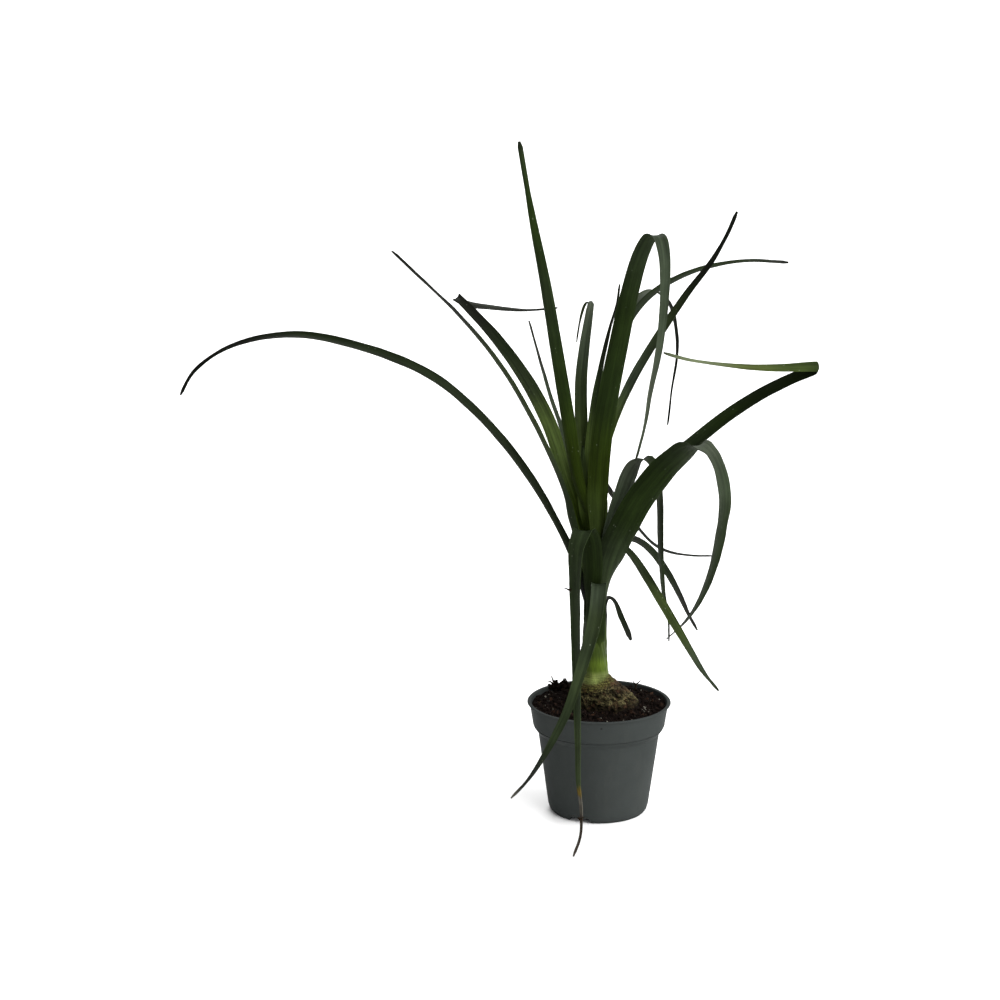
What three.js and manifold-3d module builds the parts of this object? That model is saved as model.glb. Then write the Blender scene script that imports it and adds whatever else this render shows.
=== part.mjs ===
// A potted ponytail palm: a swollen corky foot that narrows into one stem, twenty strap
// leaves clasping the stem's upper half, and soil in a plain tapered plastic pot.
// Millimetres, +Z up. The origin is the centre of the pot's foot on the surface that it
// stands on, and the front of the plant looks towards -Y.
import * as THREE from "three";
import { mergeVertices } from "three/addons/utils/BufferGeometryUtils.js";
import Module from "manifold-3d";

const wasm = await Module();
wasm.setup();

// ---- Driving dimensions -------------------------------------------------------------

const CLEARANCE = 0.4; // between the soil and the wall of the pot
const ROUND_SIDES = 40; // of the pot and the soil
const WELD = 1e-4; // vertices nearer than this are one vertex

const POT = {
  height: 94.4,
  wall: 1.3,
  lipRadius: 60,
  lipBottom: 93.2,
  lipRound: 0.5,
  bandTopRadius: 58,
  step: [[55.3, 76], [54.4, 73.2], [52.6, 70.8], [50.8, 68.6]], // radius, height: band to body
  bodyBottomRadius: 42.2,
  bodyBottom: 6,
  footRadius: 39.2,
  footWidth: 2.4,
  padRadius: 9,
  floorBottom: 4.4,
  floorTop: 6,
};

// Arches cut through the foot ring, by their bearing, and round drain holes in the floor
const ARCH = { bearings: [66, 246], width: 20, slant: 2, height: 4.2, radius: 38.4, depth: 9 };
const DRAIN = { count: 8, radius: 3.5, circle: 26, sides: 12 };

const SOIL = {
  edge: 90.6, // height at the pot's wall
  crown: 92.6, // height in the middle
  lump: 0.9,
  side: 0.7, // how much further its top edge keeps from the wall than the clearance
  hole: 0.55, // its gap round the swollen foot
  topRings: [0.88, 0.78, 0.68, 0.58, 0.48], // rings of its top, as shares of the pot's band
};
const CHIPS = { count: 16, seed: 11, smallest: 2.2, largest: 5.5, inner: 31, outer: 49, rise: 0.3 };

// The stem stands a little left of the pot's axis and narrows where the leaves leave it
const STEM = { x: -4.2, radius: 9.3, narrowsFrom: 150, narrowing: 1.02 / 16, leastRadius: 2.6 };
const TRUNK_SIDES = 24;

// The corky foot and the stem as level rings: height, middle x, radius, depth of the bark
const TRUNK_RINGS = [
  [60, 7, 5, 0],
  [63, 7, 13, 0.2],
  [70, 7.5, 20.5, 0.3],
  [78, 8, 24.6, 0.4],
  [86, 8, 26.2, 0.6],
  [93, 7, 25.4, 0.9],
  [99, 5, 22.8, 1],
  [104, 3, 19.8, 1],
  [109, 0.6, 16.6, 0.8],
  [113, -1.4, 14, 0.5],
  [116.5, -2.8, 12.2, 0.2],
  [117.5, -3.1, 11.2, 0],
  [121, -3.6, 10.8, 0],
  [122, -3.8, 10.2, 0],
  [130, -4.1, 9.6, 0],
  [150, -4.2, 9.3, 0],
  [182, -4.2, 7.26, 0],
  [222, -4.2, 4.71, 0],
  [255, -4.2, 2.6, 0],
  [264, -4.2, 2.2, 0],
];

const BLADE = {
  thickness: 0.6,
  tipWidth: 2,
  taper: 1.9, // the power by which the width falls towards the tip
  widening: 0.1, // the share of the length over which the clasping base becomes the blade
  clasp: [0, 8, 16], // heights above the leaf's start at which it runs up the stem
  lift: 0.45, // its gap to the stem there
  lean: 0.15, // how much wider the gap is at the top of the clasp
  bend: 12, // degrees of turn that one step along the blade may take
  across: [-1, -0.5, 0, 0.5, 1], // places across the blade, in half widths
  samples: 40, // places on each row's span at which the length is measured
};

// Each leaf starts on the stem at a bearing (degrees from +X) and a height, wraps it as a
// clasp, and then follows its route. A row of the route is x, y, z and the way that the
// blade's width lies there: its bearing and its tilt in degrees. A blunt leaf has a tip width.
const LEAVES = [
  {
    name: "leaf_01_left_arch", bearing: 158, start: 166, clasp: 13, width: 13,
    route: [
      [-18, 8, 204, 228, 0], [-33, 14, 236, 255, -10], [-59, 24, 280, 258, -18],
      [-98, 36, 327, 260, -20], [-140, 46, 361, 260, -24], [-198, 54, 384, 260, -28],
      [-256, 59, 394, 260, -34], [-307, 62, 384, 250, -38], [-338, 64, 363, 235, -38],
      [-351, 65, 342, 225, -34],
    ],
  },
  {
    name: "leaf_02_left_slim", bearing: 214, start: 182, clasp: 8, width: 9,
    route: [
      [-24.5, -9, 254, 318, 0], [-30, -12, 275, 300, 0], [-50, -26, 325, 302, 0],
      [-82, -47, 386, 308, 0], [-117, -66, 433, 314, 0], [-145, -80, 463, 318, 0],
      [-166, -90, 485, 320, 0],
    ],
  },
  {
    name: "leaf_03_left_folded", bearing: 155, start: 198, clasp: 9.5, width: 15,
    route: [
      [-21.5, 7, 260, 205, 0], [-29, 12, 283, 218, 0], [-42, 28, 322, 215, 0],
      [-61, 46, 357, 208, 0], [-86, 66, 389, 204, 0], [-104, 80, 407, 206, -5],
      [-117, 88, 419, 222, -15], [-119, 93, 420, 238, -25], [-112, 97, 415, 245, -30],
      [-91, 100, 411, 250, -32], [-61, 102, 408, 250, -34], [-34, 101, 410, 250, -34],
    ],
  },
  {
    name: "leaf_04_small_left", bearing: 185, start: 246, clasp: 4.6, width: 7,
    route: [
      [-26, 6, 299, 255, 0], [-32.5, 14, 323, 242, 0], [-42.5, 28, 351, 236, 0],
      [-52, 40, 384, 230, 0], [-59, 48, 408, 230, 0],
    ],
  },
  {
    name: "leaf_05_tall", bearing: 235, start: 230, clasp: 8, width: 12,
    route: [
      [-20, -12, 287, 325, 0], [-29, -22, 343, 340, 0], [-38, -31, 397, 340, 0],
      [-47, -40, 451, 343, 0], [-58, -50, 508, 350, 0], [-68, -60, 566, 350, 0],
    ],
  },
  {
    name: "leaf_06_centre_folded", bearing: 132, start: 230, clasp: 5.6, width: 11,
    route: [
      [-10.5, 6, 266, 205, 0], [-14, 12, 289, 195, 0], [-16, 23, 329, 190, 0],
      [-16, 32, 361, 187, 0], [-13, 41, 389, 187, 0], [-9, 49, 415, 195, 0],
      [-8, 53, 422, 220, 0], [-11, 57, 421, 240, 0], [-16, 58, 407, 240, 0],
      [-19, 58, 388, 240, 0],
    ],
  },
  {
    name: "leaf_07_back_right", bearing: 85, start: 246, clasp: 4.6, width: 8,
    route: [
      [-9, 10, 294, 160, 0], [-5.5, 20, 338, 145, 0], [1, 30, 374, 130, 0],
      [8, 40, 403, 130, 0], [14, 46, 424, 130, 0], [16, 50, 438, 130, 0],
    ],
  },
  {
    name: "leaf_08_main_front", bearing: 288, start: 214, clasp: 11, width: 17.5,
    route: [
      [-2.8, -9.5, 250, 14, 0], [-2.8, -13, 270, 12, 0], [-1, -21, 314, 5, 0],
      [4, -29, 356, 5, 0], [11, -37, 398, 5, 0], [20, -50, 448, 5, 0],
      [28, -62, 480, 5, 0], [35, -72, 494, 8, 0], [40, -82, 494, 18, 0],
      [43, -90, 481, 30, 0], [43, -96, 448, 38, 0], [40, -98, 413, 38, 0],
      [34, -96, 378, 38, 0], [30, -90, 347, 38, 0], [24, -80, 318, 38, 0],
    ],
  },
  {
    name: "leaf_09_right_upright", bearing: 355, start: 246, clasp: 5, width: 9,
    route: [
      [1, 1, 284, 90, 0], [9, 8, 324, 130, 0], [24, 20, 359, 145, 0],
      [47, 34, 396, 148, 0], [72, 47, 431, 152, 0], [92, 56, 456, 158, 0],
      [105, 62, 478, 162, 0], [113, 66, 496, 162, 0],
    ],
  },
  {
    name: "leaf_10_right_arch", bearing: 50, start: 230, clasp: 5.4, width: 9.5,
    route: [
      [-4, 14, 289, 125, 0], [2, 29, 336, 122, 0], [12, 44, 376, 120, 5],
      [25, 60, 405, 120, 12], [40, 74, 422, 118, 20], [58, 87, 433, 114, 26],
      [79, 98, 441, 108, 32], [102, 107, 446, 104, 38], [128, 116, 448, 100, 42],
      [163, 126, 445, 100, 42],
    ],
  },
  {
    name: "leaf_11_back_droop", bearing: 88, start: 214, clasp: 5.8, width: 10,
    route: [
      [-5, 22, 287, 165, 0], [4, 43, 334, 160, 0], [17, 66, 380, 155, 0],
      [30, 86, 414, 150, 5], [41, 98, 423, 146, 10], [50, 108, 422, 136, 10],
      [61, 117, 411, 122, 5], [67, 124, 391, 114, 0], [69, 127, 365, 112, 0],
      [65, 127, 334, 112, 0], [62, 124, 304, 112, 0],
    ],
  },
  {
    name: "leaf_12_right_folded", bearing: 16, start: 214, clasp: 5.8, width: 12.5,
    route: [
      [5, 5, 240, 108, 5], [21, 10, 261, 105, 25], [46, 17, 287, 100, 40],
      [75, 24, 308, 100, 48], [104, 34, 329, 100, 50], [133, 44, 346, 98, 52],
      [162, 52, 359, 95, 60], [180, 54, 366, 92, 72], [182, 49, 369, 90, 78],
      [174, 45, 370, 90, 70], [149, 40, 370, 90, 55], [119, 34, 372, 90, 46],
      [90, 28, 376, 90, 40], [70, 24, 380, 90, 40], [51, 20, 386, 90, 40],
    ],
  },
  {
    name: "leaf_13_broad_front", bearing: 337, start: 166, clasp: 12, width: 25,
    route: [
      [5, -7, 203, 38, 0], [8.5, -11, 220, 16, 0], [12.5, -15, 233, 4, 0],
      [18.5, -22, 248, 0, 0], [27, -29, 267, 2, 0], [37, -35, 284, 2, 0],
      [48, -41, 300, 2, 0], [61, -49, 314.5, 4, 0], [68, -55, 322, 10, 0],
      [75, -60, 325, 30, 0], [82, -63.5, 321, 64, 0], [88, -65.5, 311, 64, 0],
      [92, -65, 298, 60, 0], [94.5, -62, 280, 58, 0], [92.5, -54, 252, 57, 0],
      [88.5, -42, 222, 55, 0], [81.5, -27, 193, 51, 0], [71, -12, 168, 46, 0],
      [56, 0, 148, 40, 0],
    ],
  },
  {
    name: "leaf_14_right_bent", bearing: 336, start: 198, clasp: 8, width: 14,
    route: [
      [6, -6, 240, 60, 0], [13, -8, 261, 34, 0], [18, -9, 275, 22, 0],
      [23, -10, 290, 18, 0], [29, -11.5, 300.5, 34, 0], [36.5, -14, 304, 56, 0],
      [43, -17, 295, 64, 0], [46, -17, 271, 66, 0], [47, -14, 245, 66, 0],
      [49, -9, 214, 66, 0], [52, -3, 187, 66, 0], [57, 2, 164, 66, 0], [58, 4, 145, 66, 0],
    ],
  },
  {
    name: "leaf_15_back_slim", bearing: 84, start: 198, clasp: 6.6, width: 8,
    route: [
      [-3, 20, 249, 175, 0], [-3, 32, 270, 145, 4], [1, 44, 276, 100, 16],
      [9, 55, 262, 64, 22], [20, 61, 245, 80, 30], [34, 65, 227, 94, 32],
      [47, 67, 213, 94, 34], [60, 67, 206, 94, 32], [79, 65, 203, 96, 26],
      [99, 63, 203, 98, 22],
    ],
  },
  {
    name: "leaf_16_back_right", bearing: 66, start: 182, clasp: 7.4, width: 9.5,
    route: [
      [4, 16, 212, 140, 0], [10, 27, 222, 135, 5], [20, 38, 224, 115, 10],
      [32, 47, 220, 92, 20], [43, 54, 211, 76, 26], [55, 60, 195, 64, 28],
      [69, 62, 171, 58, 28], [78, 62, 152, 56, 28], [86, 60, 138, 56, 28],
    ],
  },
  {
    name: "leaf_17_right_droop", bearing: 4, start: 182, clasp: 6.5, width: 11.5,
    route: [
      [7, 2, 203, 90, 0], [10.5, 3.5, 217, 86, 0], [16, 4, 226, 76, 0],
      [23, 0, 222, 64, 0], [38, -10, 202, 52, 0], [51, -20, 182, 48, 0],
      [72, -29, 148, 42, 0], [85, -32, 128, 36, 0], [97, -35, 114, 34, 0],
    ],
  },
  {
    name: "leaf_18_low_right", bearing: 35, start: 150, clasp: 11, width: 7.5, tip: 5,
    route: [
      [4.5, 9, 176, 125, 0], [7, 12, 180, 112, 4], [11.5, 14, 177.5, 84, 14],
      [18, 16, 163.5, 46, 24], [23.5, 16, 151, 40, 24], [27, 15, 142.5, 38, 24],
    ],
  },
  {
    name: "leaf_19_front_long", bearing: 255, start: 166, clasp: 12, width: 16.5,
    route: [
      [-7, -14, 194, -10, 0], [-7, -18, 219, -5, 0], [-9, -23, 238, 0, 0],
      [-13, -29, 247, 0, 0], [-16, -38, 249, -15, 0], [-20, -45, 238, -40, 0],
      [-21, -50, 212, -55, 0], [-20.5, -54, 180, -58, 0], [-20, -58, 147, -58, 0],
      [-19.5, -66, 116, -58, 0], [-19, -75, 85, -58, 0], [-19, -82, 53, -58, 0],
      [-17, -90, 29, -52, 0], [-18, -102, 13, -35, 0], [-24, -118, 1.5, -10, 0],
    ],
  },
  {
    name: "leaf_20_front_short", bearing: 290, start: 150, clasp: 12.6, width: 12.5,
    route: [
      [-1.2, -15, 186, 10, 0], [-1.5, -20, 197, 5, 0], [-2.2, -29, 203, 5, 0],
      [-3, -39, 198, 5, 0], [-6, -51, 180.5, 12, 0], [-11, -62, 164, 18, 0],
      [-16.5, -70, 148, 22, 0], [-22, -76, 131, 22, 0], [-28.5, -80, 112.5, 20, 0],
      [-38, -85, 93, 16, 0], [-49.5, -90, 73, 8, 0], [-60.5, -93, 57, 0, 0],
      [-74, -94, 42, -6, 0],
    ],
  },
];

const COLOURS = {
  pot: { color: 0x7f8583, roughness: 0.45, metalness: 0 },
  soil: { color: 0x2e2422, roughness: 1, metalness: 0 },
  trunk: { color: 0xa5967a, roughness: 0.85, metalness: 0 },
  leaf: { color: 0x5f7a45, roughness: 0.5, metalness: 0 },
};

// ---- Helpers ------------------------------------------------------------------------

const radians = THREE.MathUtils.degToRad;
const { lerp, smoothstep } = THREE.MathUtils;

// A repeatable random draw between 0 and 1
function seededDraw(seed) {
  let state = seed;
  return () => {
    state = (state * 16807) % 2147483647;
    return state / 2147483647;
  };
}

// Positions and triangles only, with shared vertices merged and the faces pointing out
function closedMesh(geometry) {
  const bare = geometry.clone();
  bare.deleteAttribute("normal");
  bare.deleteAttribute("uv");
  const merged = mergeVertices(bare, WELD);
  const position = merged.getAttribute("position");
  const corner = [new THREE.Vector3(), new THREE.Vector3(), new THREE.Vector3()];
  const triangles = [];
  let volume = 0;
  for (let i = 0; i < merged.index.count; i += 3) {
    const ids = [0, 1, 2].map((k) => merged.index.getX(i + k));
    if (new Set(ids).size < 3) {
      continue;
    }
    ids.forEach((id, k) => corner[k].fromBufferAttribute(position, id));
    volume += corner[0].dot(corner[1].clone().cross(corner[2])) / 6;
    triangles.push(ids);
  }
  const facing = volume > 0 ? triangles : triangles.map(([a, b, c]) => [a, c, b]);
  return { vertProperties: new Float32Array(position.array), triVerts: new Uint32Array(facing.flat()) };
}

function toSolid(geometry) {
  return new wasm.Manifold(new wasm.Mesh({ numProp: 3, ...closedMesh(geometry) }));
}

function toGeometry({ vertProperties, triVerts }) {
  const geometry = new THREE.BufferGeometry();
  geometry.setAttribute("position", new THREE.BufferAttribute(vertProperties, 3));
  geometry.setIndex(new THREE.BufferAttribute(triVerts, 1));
  return geometry;
}

// A closed body of revolution about +Z from [radius, height] pairs
function turned(profile) {
  const points = profile.map(([radius, height]) => new THREE.Vector2(radius, height));
  return new THREE.LatheGeometry(points, ROUND_SIDES).rotateX(Math.PI / 2);
}

// A closed body through rings of one even number of points. Its two long faces are split
// into triangles alike, so that a thin waved blade keeps its thickness.
function lofted(rings) {
  const sides = rings[0].length;
  const index = [];
  for (let i = 0; i + 1 < rings.length; i += 1) {
    for (let k = 0; k < sides; k += 1) {
      const a = i * sides + k;
      const b = i * sides + ((k + 1) % sides);
      const c = b + sides;
      const d = a + sides;
      index.push(...(k < sides / 2 ? [a, b, c, a, c, d] : [a, b, d, b, c, d]));
    }
  }
  for (const [base, flip] of [[0, true], [(rings.length - 1) * sides, false]]) {
    for (let k = 0; k + 1 < sides / 2; k += 1) {
      const quad = [k, k + 1, sides - 2 - k, sides - 1 - k].map((id) => id + base);
      const [a, b, c, d] = flip ? quad.toReversed() : quad;
      index.push(a, b, c, a, c, d);
    }
  }
  const geometry = new THREE.BufferGeometry().setFromPoints(rings.flat());
  geometry.setIndex(index);
  return toGeometry(closedMesh(geometry));
}

function namedMesh(name, geometry, look) {
  const mesh = new THREE.Mesh(geometry, new THREE.MeshStandardMaterial(look));
  mesh.name = name;
  return mesh;
}

// ---- Pot ----------------------------------------------------------------------------

// The inside of the pot from the rim down to the middle of its floor
function innerProfile(gap) {
  const inset = POT.wall + gap;
  return [
    [POT.bandTopRadius - inset, POT.lipBottom],
    ...POT.step.map(([radius, height]) => [radius - inset, height]),
    [POT.bodyBottomRadius - inset + 0.3, POT.floorTop + 2.8 + gap],
    [POT.bodyBottomRadius - inset - 1.7, POT.floorTop + 0.5 + gap],
    [POT.bodyBottomRadius - inset - 3.5, POT.floorTop + gap],
    [0, POT.floorTop + gap],
  ];
}

function potGeometry() {
  const footInner = POT.footRadius - POT.footWidth;
  const shell = turned([
    [0, 0],
    [POT.padRadius, 0],
    [POT.padRadius + 1, POT.floorBottom],
    [footInner - 0.8, POT.floorBottom],
    [footInner, 0],
    [POT.footRadius, 0],
    [POT.footRadius + 1.8, 2.2],
    [POT.bodyBottomRadius, POT.bodyBottom],
    ...POT.step.toReversed(),
    [POT.bandTopRadius, POT.lipBottom],
    [POT.lipRadius - POT.lipRound, POT.lipBottom],
    [POT.lipRadius, POT.lipBottom + POT.lipRound],
    [POT.lipRadius, POT.height - POT.lipRound],
    [POT.lipRadius - POT.lipRound, POT.height],
    [POT.bandTopRadius - POT.wall + POT.lipRound, POT.height],
    [POT.bandTopRadius - POT.wall, POT.height - POT.lipRound],
    ...innerProfile(0),
  ]);
  let pot = toSolid(shell);
  for (const bearing of ARCH.bearings) {
    const outline = new THREE.Shape();
    outline.moveTo(-ARCH.width / 2, -ARCH.height);
    outline.lineTo(ARCH.width / 2, -ARCH.height);
    outline.lineTo(ARCH.width / 2, 0);
    outline.lineTo(ARCH.width / 2 - ARCH.slant, ARCH.height);
    outline.lineTo(ARCH.slant - ARCH.width / 2, ARCH.height);
    outline.lineTo(-ARCH.width / 2, 0);
    const arch = new THREE.ExtrudeGeometry(outline, { depth: ARCH.depth, bevelEnabled: false });
    arch.translate(0, 0, -ARCH.depth / 2).rotateX(Math.PI / 2).rotateZ(Math.PI / 2);
    arch.translate(ARCH.radius, 0, 0).rotateZ(radians(bearing));
    pot = pot.subtract(toSolid(arch));
  }
  for (let i = 0; i < DRAIN.count; i += 1) {
    const hole = new THREE.CylinderGeometry(DRAIN.radius, DRAIN.radius, 2 * POT.floorTop, DRAIN.sides);
    hole.rotateX(Math.PI / 2).translate(DRAIN.circle, 0, POT.floorTop);
    hole.rotateZ(((i + 0.5) * 2 * Math.PI) / DRAIN.count);
    pot = pot.subtract(toSolid(hole));
  }
  return toGeometry(pot.getMesh());
}

// ---- Swollen foot and stem ------------------------------------------------------------

// Bark plates as a height over the smooth ring, between -1 and 1
function barkRelief(angle, height) {
  return 0.6 * Math.sin(5 * angle + 0.21 * height) + 0.4 * Math.sin(9 * angle - 0.35 * height);
}

function trunkGeometry(growth) {
  const last = TRUNK_RINGS.length - 1;
  const rings = TRUNK_RINGS.map(([height, x, radius, bark], i) => {
    const z = height + (i < 2 ? -growth : 0) + (i === last ? growth : 0);
    return Array.from({ length: TRUNK_SIDES }, (_, k) => {
      const angle = (2 * Math.PI * k) / TRUNK_SIDES;
      const r = radius + growth + bark * barkRelief(angle, height);
      return new THREE.Vector3(x + r * Math.cos(angle), r * Math.sin(angle), z);
    });
  });
  return lofted(rings);
}

// ---- Soil -----------------------------------------------------------------------------

// The soil's surface: highest round the plant, lowest at the wall, with soft lumps
function soilHeight(x, y) {
  const reach = Math.hypot(x, y) / POT.bandTopRadius;
  const lumps = Math.sin(0.31 * x + 0.6) * Math.cos(0.27 * y) + 0.6 * Math.sin(0.55 * x - 0.43 * y);
  return lerp(SOIL.crown, SOIL.edge, reach * reach) + SOIL.lump * lumps;
}

// A bark chip as a squat block of random size and turn, half sunk in the surface
function chip(draw, x, y) {
  const [length, width] = [0, 1].map(() => lerp(CHIPS.smallest, CHIPS.largest, draw()));
  const block = new THREE.BoxGeometry(length, width, CHIPS.smallest);
  block.rotateX(draw() - 0.5).rotateY(draw() - 0.5).rotateZ(draw() * Math.PI);
  return toSolid(block.translate(x, y, soilHeight(x, y) + CHIPS.rise));
}

function soilGeometry() {
  const side = innerProfile(CLEARANCE).slice(1).toReversed();
  const edge = POT.bandTopRadius - POT.wall - CLEARANCE - SOIL.side;
  const top = [edge, ...SOIL.topRings.map((share) => share * POT.bandTopRadius), 0];
  const body = turned([...side, ...top.map((radius) => [radius, SOIL.crown])]);
  const position = body.getAttribute("position");
  for (let i = 0; i < position.count; i += 1) {
    if (position.getZ(i) > SOIL.crown - 1) {
      position.setZ(i, soilHeight(position.getX(i), position.getY(i)));
    }
  }
  let soil = toSolid(body);
  const draw = seededDraw(CHIPS.seed);
  for (let i = 0; i < CHIPS.count; i += 1) {
    const bearing = ((i + 0.7 * draw()) * 2 * Math.PI) / CHIPS.count;
    const reach = lerp(CHIPS.inner, CHIPS.outer, draw());
    soil = soil.add(chip(draw, reach * Math.cos(bearing), reach * Math.sin(bearing)));
  }
  return toGeometry(soil.subtract(toSolid(trunkGeometry(SOIL.hole))).getMesh());
}

// ---- Leaves ---------------------------------------------------------------------------

function stemRadius(height) {
  const narrowed = STEM.radius - Math.max(0, height - STEM.narrowsFrom) * STEM.narrowing;
  return Math.max(STEM.leastRadius, narrowed);
}

// The whole way of a leaf, its clasping base first: points, width bearings and tilts
function leafWay({ bearing, start, route }) {
  const radius = stemRadius(start) + BLADE.lift + BLADE.thickness / 2;
  const wrap = 360 * Math.round((route[0][3] - bearing - 90) / 360);
  const clasp = BLADE.clasp.map((rise, i) => {
    const r = radius + (i === BLADE.clasp.length - 1 ? BLADE.lean : 0);
    const angle = radians(bearing);
    return [STEM.x + r * Math.cos(angle), r * Math.sin(angle), start + rise, bearing + 90 + wrap, 0];
  });
  const rows = [...clasp, ...route];
  const points = rows.map(([x, y, z]) => new THREE.Vector3(x, y, z));
  const curve = new THREE.CatmullRomCurve3(points, false, "centripetal");
  return { rows, points, curve, claspRadius: radius };
}

// Steps along the way, closer together where it bends or twists
function leafSteps({ rows, points }) {
  const spans = rows.length - 1;
  const steps = [0];
  for (let i = 0; i < spans; i += 1) {
    const here = points[i + 1].clone().sub(points[i]);
    const before = i > 0 ? points[i].clone().sub(points[i - 1]) : here;
    const after = i + 2 < rows.length ? points[i + 2].clone().sub(points[i + 1]) : here;
    const turn = THREE.MathUtils.radToDeg(here.angleTo(before) + here.angleTo(after)) / 2;
    const twist = Math.abs(rows[i + 1][3] - rows[i][3]);
    const count = Math.max(1, Math.ceil(Math.max(turn, twist / 2) / BLADE.bend));
    for (let k = 1; k <= count; k += 1) {
      steps.push((i + k / count) / spans);
    }
  }
  return steps;
}

function leafWidth(leaf, share, claspShare) {
  const widest = claspShare + BLADE.widening;
  if (share < widest) {
    return lerp(leaf.clasp, leaf.width, smoothstep(share, claspShare, widest));
  }
  const beyond = (share - widest) / (1 - widest);
  return Math.max(leaf.tip ?? BLADE.tipWidth, leaf.width * (1 - beyond ** BLADE.taper));
}

// The outline of the blade across its run: the upper face, then the lower face back
function bladeRing(centre, across, inward, width, curl) {
  const face = (side) => BLADE.across.map((place) => {
    const angle = (place * width * curl) / 2;
    const radius = 1 / curl + side * BLADE.thickness / 2;
    return centre.clone()
      .addScaledVector(across, radius * Math.sin(angle))
      .addScaledVector(inward, 1 / curl - radius * Math.cos(angle));
  });
  return [...face(-1), ...face(1).toReversed()];
}

function leafGeometry(leaf) {
  const way = leafWay(leaf);
  const spans = way.rows.length - 1;
  const claspEnd = (BLADE.clasp.length - 1) / spans;
  const lengths = way.curve.getLengths(spans * BLADE.samples);
  const shareAt = (t) => lengths[Math.round(t * spans * BLADE.samples)] / lengths.at(-1);
  const claspShare = shareAt(claspEnd);
  const rings = leafSteps(way).map((t) => {
    const place = Math.min(t * spans, spans - 1e-6);
    const [from, to] = [way.rows[Math.floor(place)], way.rows[Math.floor(place) + 1]];
    const turn = radians(lerp(from[3], to[3], place % 1));
    const tilt = radians(lerp(from[4], to[4], place % 1));
    const run = way.curve.getTangent(t);
    const across = new THREE.Vector3(
      Math.cos(turn) * Math.cos(tilt),
      Math.sin(turn) * Math.cos(tilt),
      Math.sin(tilt),
    );
    across.addScaledVector(run, -across.dot(run)).normalize();
    const inward = run.clone().cross(across);
    const width = leafWidth(leaf, shareAt(t), claspShare);
    const curl = t <= claspEnd ? 1 / way.claspRadius : 1 / Math.max(width, way.claspRadius);
    return bladeRing(way.curve.getPoint(t), across, inward, width, curl);
  });
  return lofted(rings);
}

// ---- Assembly -------------------------------------------------------------------------

const plant = new THREE.Group();
plant.add(namedMesh("pot", potGeometry(), COLOURS.pot));
plant.add(namedMesh("soil", soilGeometry(), COLOURS.soil));
plant.add(namedMesh("swollen_foot_and_stem", trunkGeometry(0), COLOURS.trunk));
for (const leaf of LEAVES) {
  plant.add(namedMesh(leaf.name, leafGeometry(leaf), COLOURS.leaf));
}

export default plant;
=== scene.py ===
"""The looks of the potted ponytail palm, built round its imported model. Lengths are in
millimetres until a mesh is made, with +Z up and the plant's front towards -Y."""
import random
from math import cos, degrees, exp, hypot, pi, radians, sin, sqrt
from types import SimpleNamespace as Values

import bmesh
import bpy
import numpy as np
from mathutils import Matrix, Vector, noise


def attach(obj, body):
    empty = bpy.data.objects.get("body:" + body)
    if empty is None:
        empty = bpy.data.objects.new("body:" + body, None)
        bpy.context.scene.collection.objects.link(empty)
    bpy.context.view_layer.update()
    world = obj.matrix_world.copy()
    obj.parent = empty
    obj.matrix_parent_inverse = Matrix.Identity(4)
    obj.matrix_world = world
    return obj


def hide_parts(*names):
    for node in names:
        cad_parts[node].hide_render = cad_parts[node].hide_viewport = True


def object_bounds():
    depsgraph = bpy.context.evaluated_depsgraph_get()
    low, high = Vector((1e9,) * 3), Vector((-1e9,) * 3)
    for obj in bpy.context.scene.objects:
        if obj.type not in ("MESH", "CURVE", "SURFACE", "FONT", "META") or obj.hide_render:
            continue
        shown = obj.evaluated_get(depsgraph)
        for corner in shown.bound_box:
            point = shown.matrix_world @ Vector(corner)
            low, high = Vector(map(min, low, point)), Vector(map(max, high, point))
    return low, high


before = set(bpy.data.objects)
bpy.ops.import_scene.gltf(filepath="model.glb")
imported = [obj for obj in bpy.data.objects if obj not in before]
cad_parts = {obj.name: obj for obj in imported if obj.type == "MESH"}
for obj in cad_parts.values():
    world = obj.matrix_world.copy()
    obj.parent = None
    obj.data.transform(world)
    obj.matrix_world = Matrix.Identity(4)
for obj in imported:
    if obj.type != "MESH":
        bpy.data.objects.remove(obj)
cad_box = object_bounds()

MM = 0.001
SEED = 7

# The photograph's view: where it stands, how far it looks down, its focal length and aim
CAMERA = Values(place=(-82.8, -2095, 766), down=13.4, lens=94.39, sensor=36, sight=200)
FLOOR = 40000

POT = Values(
    height=94.4, wall=1.3, lip_radius=60, lip_bottom=93.2, lip_round=0.5,
    band_radius=58, step=[(55.3, 76), (54.4, 73.2), (52.6, 70.8), (50.8, 68.6)],
    groove=[(53.7, 73.7), (55, 74.6)],
    body_radius=42.2, body_bottom=6, foot_radius=39.2, foot_width=2.4,
    pad_radius=9, floor_bottom=4.4, floor_top=6, corner=0.55, crease=32, sides=192,
    gate=(-0.1, -57.3, 88.5),
)
ARCH = Values(bearings=(66, 246), width=20, slant=2, height=4.2, radius=38.4, depth=9)
DRAIN = Values(count=8, radius=3.5, circle=26, sides=28)

SOIL = Values(edge=90.6, crown=92.6, lump=0.9, reach=56.2, inner=13, rings=72, sides=280)
# Clods of the soil: height, layer of the random pattern and length
CLODS = [(1.5, 0, 6.5), (0.9, 3, 2.6), (0.45, 7, 1.1)]
# Where the swollen foot leaves no room for loose bits, how many there are, and how far out
FOOT = Values(x=7.5, clear=27.2)
LITTER = Values(crumbs=1800, chips=46, grains=60, fibres=90, reach=54)

STEM = Values(x=-4.2, radius=9.3, narrows_from=150, narrowing=1.02 / 16, least=2.6)
TRUNK = Values(sides=176, step=0.7)
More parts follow.
